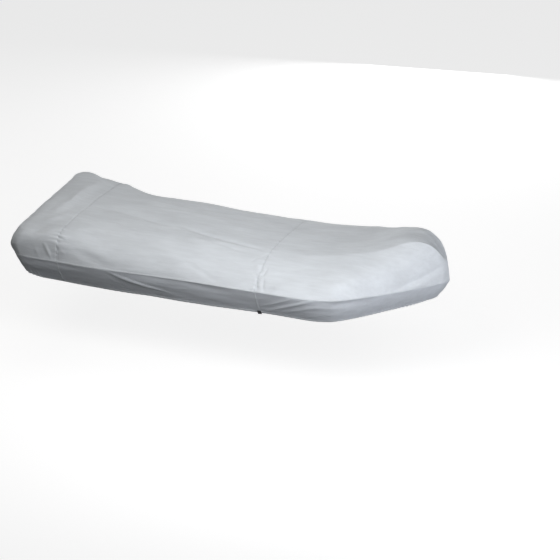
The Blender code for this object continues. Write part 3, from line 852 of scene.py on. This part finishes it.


def cloth_group():
    """Coated cloth: slow mottling, streaky crinkles along the cover, plain weave, a patchy darkening
    low down.
    """
    group = bpy.data.node_groups.new("coated_cloth", "ShaderNodeTree")
    sockets = group.interface
    for name, kind, value in (("Tint", "NodeSocketColor", (0.6, 0.63, 0.66, 1.0)),
                              ("Mottle", "NodeSocketFloat", 0.21),
                              ("Crinkle", "NodeSocketFloat", 1.0),
                              ("Weave Pitch", "NodeSocketFloat", 0.0014),
                              ("Low Darkening", "NodeSocketFloat", 0.05)):
        sockets.new_socket(name=name, in_out="INPUT", socket_type=kind).default_value = value
    for name, kind in (("Base Color", "NodeSocketColor"), ("Roughness", "NodeSocketFloat"),
                       ("Bump Height", "NodeSocketFloat")):
        sockets.new_socket(name=name, in_out="OUTPUT", socket_type=kind)
    n = Nodes(group)
    given = n.add("NodeGroupInput").outputs
    place = n.add("ShaderNodeTexCoord").outputs["Object"]
    flat = n.add("ShaderNodeUVMap", uv_map="cloth").outputs["UV"]

    slow = n.noise(n.stretched(place, (2.4, 6.5, 6.5)), 1.0, 3.0, 0.55)
    streak = n.noise(n.stretched(place, (5.0, 34.0, 34.0)), 1.0, 4.0, 0.6)
    fine = n.noise(n.stretched(place, (26.0, 90.0, 90.0)), 1.0, 3.0, 0.55)
    speck = n.noise(place, 420.0, 1.0)
    varied = n.math("ADD", n.math("MULTIPLY", n.math("SUBTRACT", slow, 0.5), 1.3),
                    n.math("MULTIPLY", n.math("SUBTRACT", streak, 0.5), 0.9))
    varied = n.math("ADD", varied, n.math("MULTIPLY", n.math("SUBTRACT", speck, 0.5), 0.35))
    height = n.add("ShaderNodeSeparateXYZ", {0: place}).outputs["Z"]
    # Low down the colour darkens in noisy patches, more towards the hem.
    low = n.add("ShaderNodeMapRange", {0: height, 1: DARKENING_TOP, 2: DARKENING_FOOT}).outputs[0]
    low_darkening = n.math("MULTIPLY", n.math("MULTIPLY", low, n.noise(place, 9.0, 4.0, 0.65)), given["Low Darkening"])
    shade = n.math("ADD", 1.0, n.math("MULTIPLY", varied, given["Mottle"]))
    shade = n.math("SUBTRACT", shade, low_darkening)
    scaled = n.scaled(given["Tint"], shade)

    pitch = n.math("DIVIDE", FULL_TURN, given["Weave Pitch"])
    split = n.add("ShaderNodeSeparateXYZ", {0: flat}).outputs
    warp = n.math("SINE", n.math("MULTIPLY", split["X"], pitch))
    weft = n.math("SINE", n.math("MULTIPLY", split["Y"], pitch))
    weave = n.math("MULTIPLY", n.math("MULTIPLY", warp, weft), 0.05)
    crinkle = n.math("ADD", streak, n.math("MULTIPLY", fine, 0.4))
    bump = n.math("ADD", n.math("MULTIPLY", crinkle, given["Crinkle"]), weave)
    rough = n.math("ADD", 0.66, n.math("MULTIPLY", n.math("SUBTRACT", fine, 0.5), 0.16))
    n.add("NodeGroupOutput", {"Base Color": scaled, "Roughness": rough, "Bump Height": bump})
    return group


def webbing_group():
    """Woven strap: dark yarn with lighter worn crowns and fuzz."""
    group = bpy.data.node_groups.new("woven_webbing", "ShaderNodeTree")
    sockets = group.interface
    sockets.new_socket(name="Tint", in_out="INPUT", socket_type="NodeSocketColor").default_value = (
        0.02, 0.02, 0.022, 1.0)
    sockets.new_socket(name="Wear", in_out="INPUT", socket_type="NodeSocketFloat").default_value = 0.5
    for name, kind in (("Base Color", "NodeSocketColor"), ("Roughness", "NodeSocketFloat"),
                       ("Bump Height", "NodeSocketFloat")):
        sockets.new_socket(name=name, in_out="OUTPUT", socket_type=kind)
    n = Nodes(group)
    given = n.add("NodeGroupInput").outputs
    place = n.add("ShaderNodeTexCoord").outputs["Object"]
    yarn = n.noise(n.stretched(place, (900.0, 900.0, 260.0)), 1.0, 2.0)
    worn = n.noise(place, 130.0, 3.0)
    amount = n.math("ADD", 1.0, n.math("MULTIPLY", n.math("MULTIPLY", yarn, worn), given["Wear"]))
    scaled = n.scaled(given["Tint"], amount)
    rough = n.math("ADD", 0.72, n.math("MULTIPLY", yarn, 0.2))
    n.add("NodeGroupOutput", {"Base Color": scaled, "Roughness": rough, "Bump Height": yarn})
    return group


def finish_of(name, group, settings, depth, sheen):
    """A material that puts a group's outputs on a Principled shader, its height through a bump."""
    material = bpy.data.materials.new(name)
    material.use_nodes = True
    n = Nodes(material.node_tree)
    shader = n.tree.nodes["Principled BSDF"]
    look = n.add("ShaderNodeGroup", node_tree=group)
    for key, value in settings.items():
        look.inputs[key].default_value = value
    bump = n.add("ShaderNodeBump", {"Height": look.outputs["Bump Height"], "Strength": 1.0,
                                    "Distance": depth})
    n.tree.links.new(look.outputs["Base Color"], shader.inputs["Base Color"])
    n.tree.links.new(look.outputs["Roughness"], shader.inputs["Roughness"])
    n.tree.links.new(bump.outputs["Normal"], shader.inputs["Normal"])
    shader.inputs["Specular IOR Level"].default_value = 0.3
    shader.inputs["Sheen Weight"].default_value = sheen
    shader.inputs["Sheen Roughness"].default_value = 0.5
    return material


def plain_finish(name, color, roughness, glow):
    """A material of one colour that glows a little, for the floor."""
    material = bpy.data.materials.new(name)
    material.use_nodes = True
    shader = material.node_tree.nodes["Principled BSDF"]
    shader.inputs["Base Color"].default_value = (*color, 1.0)
    shader.inputs["Roughness"].default_value = roughness
    shader.inputs["Emission Color"].default_value = (1.0, 1.0, 1.0, 1.0)
    shader.inputs["Emission Strength"].default_value = glow
    return material


COATED, STRAP = cloth_group(), webbing_group()
PANEL = finish_of("panel_cloth_finish", COATED, {"Tint": (0.600, 0.629, 0.660, 1.0)}, 0.0022, 0.02)
# The band is the panel's cloth with a darker, bluer tint: painted shade for the band that faces down
# under the tube.
BAND_PAINTED_SHADE = finish_of("band_cloth_painted_shade_finish", COATED,
                 {"Tint": (0.560, 0.590, 0.630, 1.0), "Mottle": 0.21, "Low Darkening": 0.10}, 0.0022, 0.02)
LAPPED = finish_of("lap_cloth_finish", COATED,
                   {"Tint": (0.560, 0.588, 0.617, 1.0), "Crinkle": 0.5}, 0.0012, 0.02)
THREAD = finish_of("thread_finish", STRAP,
                   {"Tint": (0.42, 0.44, 0.47, 1.0), "Wear": 0.15}, 0.0002, 0.1)
WEBBING = finish_of("webbing_finish", STRAP,
                    {"Tint": (0.012, 0.012, 0.014, 1.0), "Wear": 1.2}, 0.0002, 0.05)


def dress(piece, material, node=None):
    """Give a piece its material and body, and hide the CAD node that it stands for, if any."""
    piece.data.materials.append(material)
    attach(piece, "root")
    if node:
        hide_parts(node)


# Panels take the panel cloth; bands take its darker, bluer copy, which paints in their shade.
for node, piece in CLOTHS.items():
    dress(piece, PANEL if "panel" in node else BAND_PAINTED_SHADE, node)
for piece in (*LAPS.values(), *WELTS.values()):
    dress(piece, LAPPED)
for piece in (*HEMS.values(), *BAND_LAPS.values()):
    dress(piece, LAPPED)
for node, piece in THREADS.items():
    dress(piece, THREAD)
for node, piece in TABS.items():
    dress(piece, WEBBING, node)

# Cloths as cut: width, length and area in metres, and how each is held
SHEET_COLUMNS = ("node", "width", "length", "area", "held")
SHEETS = (
    ("stern_panel", 2.00, 0.75, 1.23, "stretched"),
    ("middle_panel", 1.90, 1.78, 3.28, "draped"),
    ("bow_panel", 1.82, 1.77, 2.32, "draped"),
    ("stern_band", 2.31, 0.27, 0.43, "hung"),
    ("middle_band_starboard", 1.90, 0.27, 0.50, "hung"),
    ("middle_band_port", 1.90, 0.27, 0.50, "hung"),
    ("bow_band", 3.63, 0.26, 0.86, "hung"),
)
for row in SHEETS:
    cut = dict(zip(SHEET_COLUMNS, row))
    node = cut["node"]

# ---------------------------------------------------------------- floor, light and camera

GROUND, FLOOR_REACH = -1.1823, 60.0
CORNERS = np.array([(-1, -1, 0), (1, -1, 0), (1, 1, 0), (-1, 1, 0)]) * FLOOR_REACH
floor_mesh = make_mesh("floor", CORNERS + (0, 0, GROUND), np.array([[0, 1, 2, 3]]), smooth=False)
floor_mesh.data.materials.append(plain_finish("floor_paint", (0.33, 0.33, 0.33), 0.9, 0.80))
floor_mesh.visible_diffuse = False

CAMERA_PLACE = (6.647, -15.917, 7.159)
CAMERA_TURN = 21.5
CAMERA_DOWN = 24.0
CAMERA_ROLL = -1.0
FOCAL_PIXELS = 2100
PICTURE_PIXELS = 560
SENSOR = 36.0


def place_camera():
    turn, down, roll = np.radians((CAMERA_TURN, CAMERA_DOWN, CAMERA_ROLL))
    ahead = np.array((-np.sin(turn) * np.cos(down), np.cos(turn) * np.cos(down), -np.sin(down)))
    right = np.array((np.cos(turn), np.sin(turn), 0.0))
    up = np.cross(right, ahead)
    right, up = right * np.cos(roll) + up * np.sin(roll), up * np.cos(roll) - right * np.sin(roll)
    data = bpy.data.cameras.new("camera")
    data.sensor_width = SENSOR
    data.lens = FOCAL_PIXELS * SENSOR / PICTURE_PIXELS
    data.clip_end = 200.0
    camera = bpy.data.objects.new("camera", data)
    bpy.context.scene.collection.objects.link(camera)
    matrix = Matrix.Identity(4)
    for k, axis in enumerate((right, up, -ahead)):
        for j in range(3):
            matrix[j][k] = axis[j]
    matrix.translation = CAMERA_PLACE
    camera.matrix_world = matrix
    bpy.context.scene.camera = camera


place_camera()

scene = bpy.context.scene
scene.view_settings.view_transform = "Standard"
world = bpy.data.worlds.new("studio")
world.use_nodes = True
world.node_tree.nodes["Background"].inputs["Color"].default_value = (0.8, 0.9, 1.0, 1)
world.node_tree.nodes["Background"].inputs["Strength"].default_value = 0.015
scene.world = world

# Round soft lights: place, what they point at, width in metres, watts and colour
LIGHT_COLUMNS = ("name", "place", "aim", "width", "watts", "color")
LIGHTS = (
    ("key", (1.0, -2.2, 2.0), (0.9, -0.4, -0.1), 1.4, 34.0, (1, 1, 1)),
    ("side", (0.0, -2.2, 1.2), (0.0, -0.6, -0.1), 1.2, 7.4, (1, 1, 1)),
    ("shoulder", (1.6, -2.4, 0.7), (1.2, -0.7, -0.1), 1.2, 11.5, (1, 1, 1)),
    ("stern_side", (-1.6, -2.2, 1.9), (-1.4, -0.5, 0.0), 1.4, 10.5, (1.02, 1, 0.97)),
    ("low_bow", (4.6, -2.2, -0.2), (1.6, -0.3, -0.1), 1.6, 67.0, (0.98, 1, 1.06)),
    ("top", (0.0, 0.2, 1.9), (0.0, 0.0, 0.0), 1.6, 8.4, (1, 1, 1)),
    ("stern_top", (-1.8, 0.0, 1.9), (-1.8, 0.0, 0.0), 1.6, 9.1, (1.02, 1, 0.97)),
    ("sky_bow", (6.39, -3.69, 5.16), (0.0, 0.0, 0.0), 8.0, 155.0, (1, 1, 1)),
    ("sky_port_bow", (3.90, 2.25, 7.79), (0.0, 0.0, 0.0), 10.0, 48.0, (1, 1, 1)),
    ("port", (-0.69, 7.89, 1.11), (0.0, 0.0, 0.0), 5.0, 194.0, (1, 1, 1)),
    ("stern", (-7.71, 1.36, 2.4), (0.0, 0.0, 0.0), 5.0, 62.0, (1.02, 1, 0.97)),
)
for row in LIGHTS:
    spec = dict(zip(LIGHT_COLUMNS, row))
    data = bpy.data.lights.new(spec["name"], "AREA")
    data.shape = "DISK"
    data.size, data.energy, data.color = spec["width"], spec["watts"], spec["color"]
    lamp = bpy.data.objects.new(spec["name"], data)
    scene.collection.objects.link(lamp)
    lamp.location = spec["place"]
    away = Vector(spec["place"]) - Vector(spec["aim"])
    lamp.rotation_euler = away.to_track_quat("Z", "Y").to_euler()
    lamp.visible_camera = False
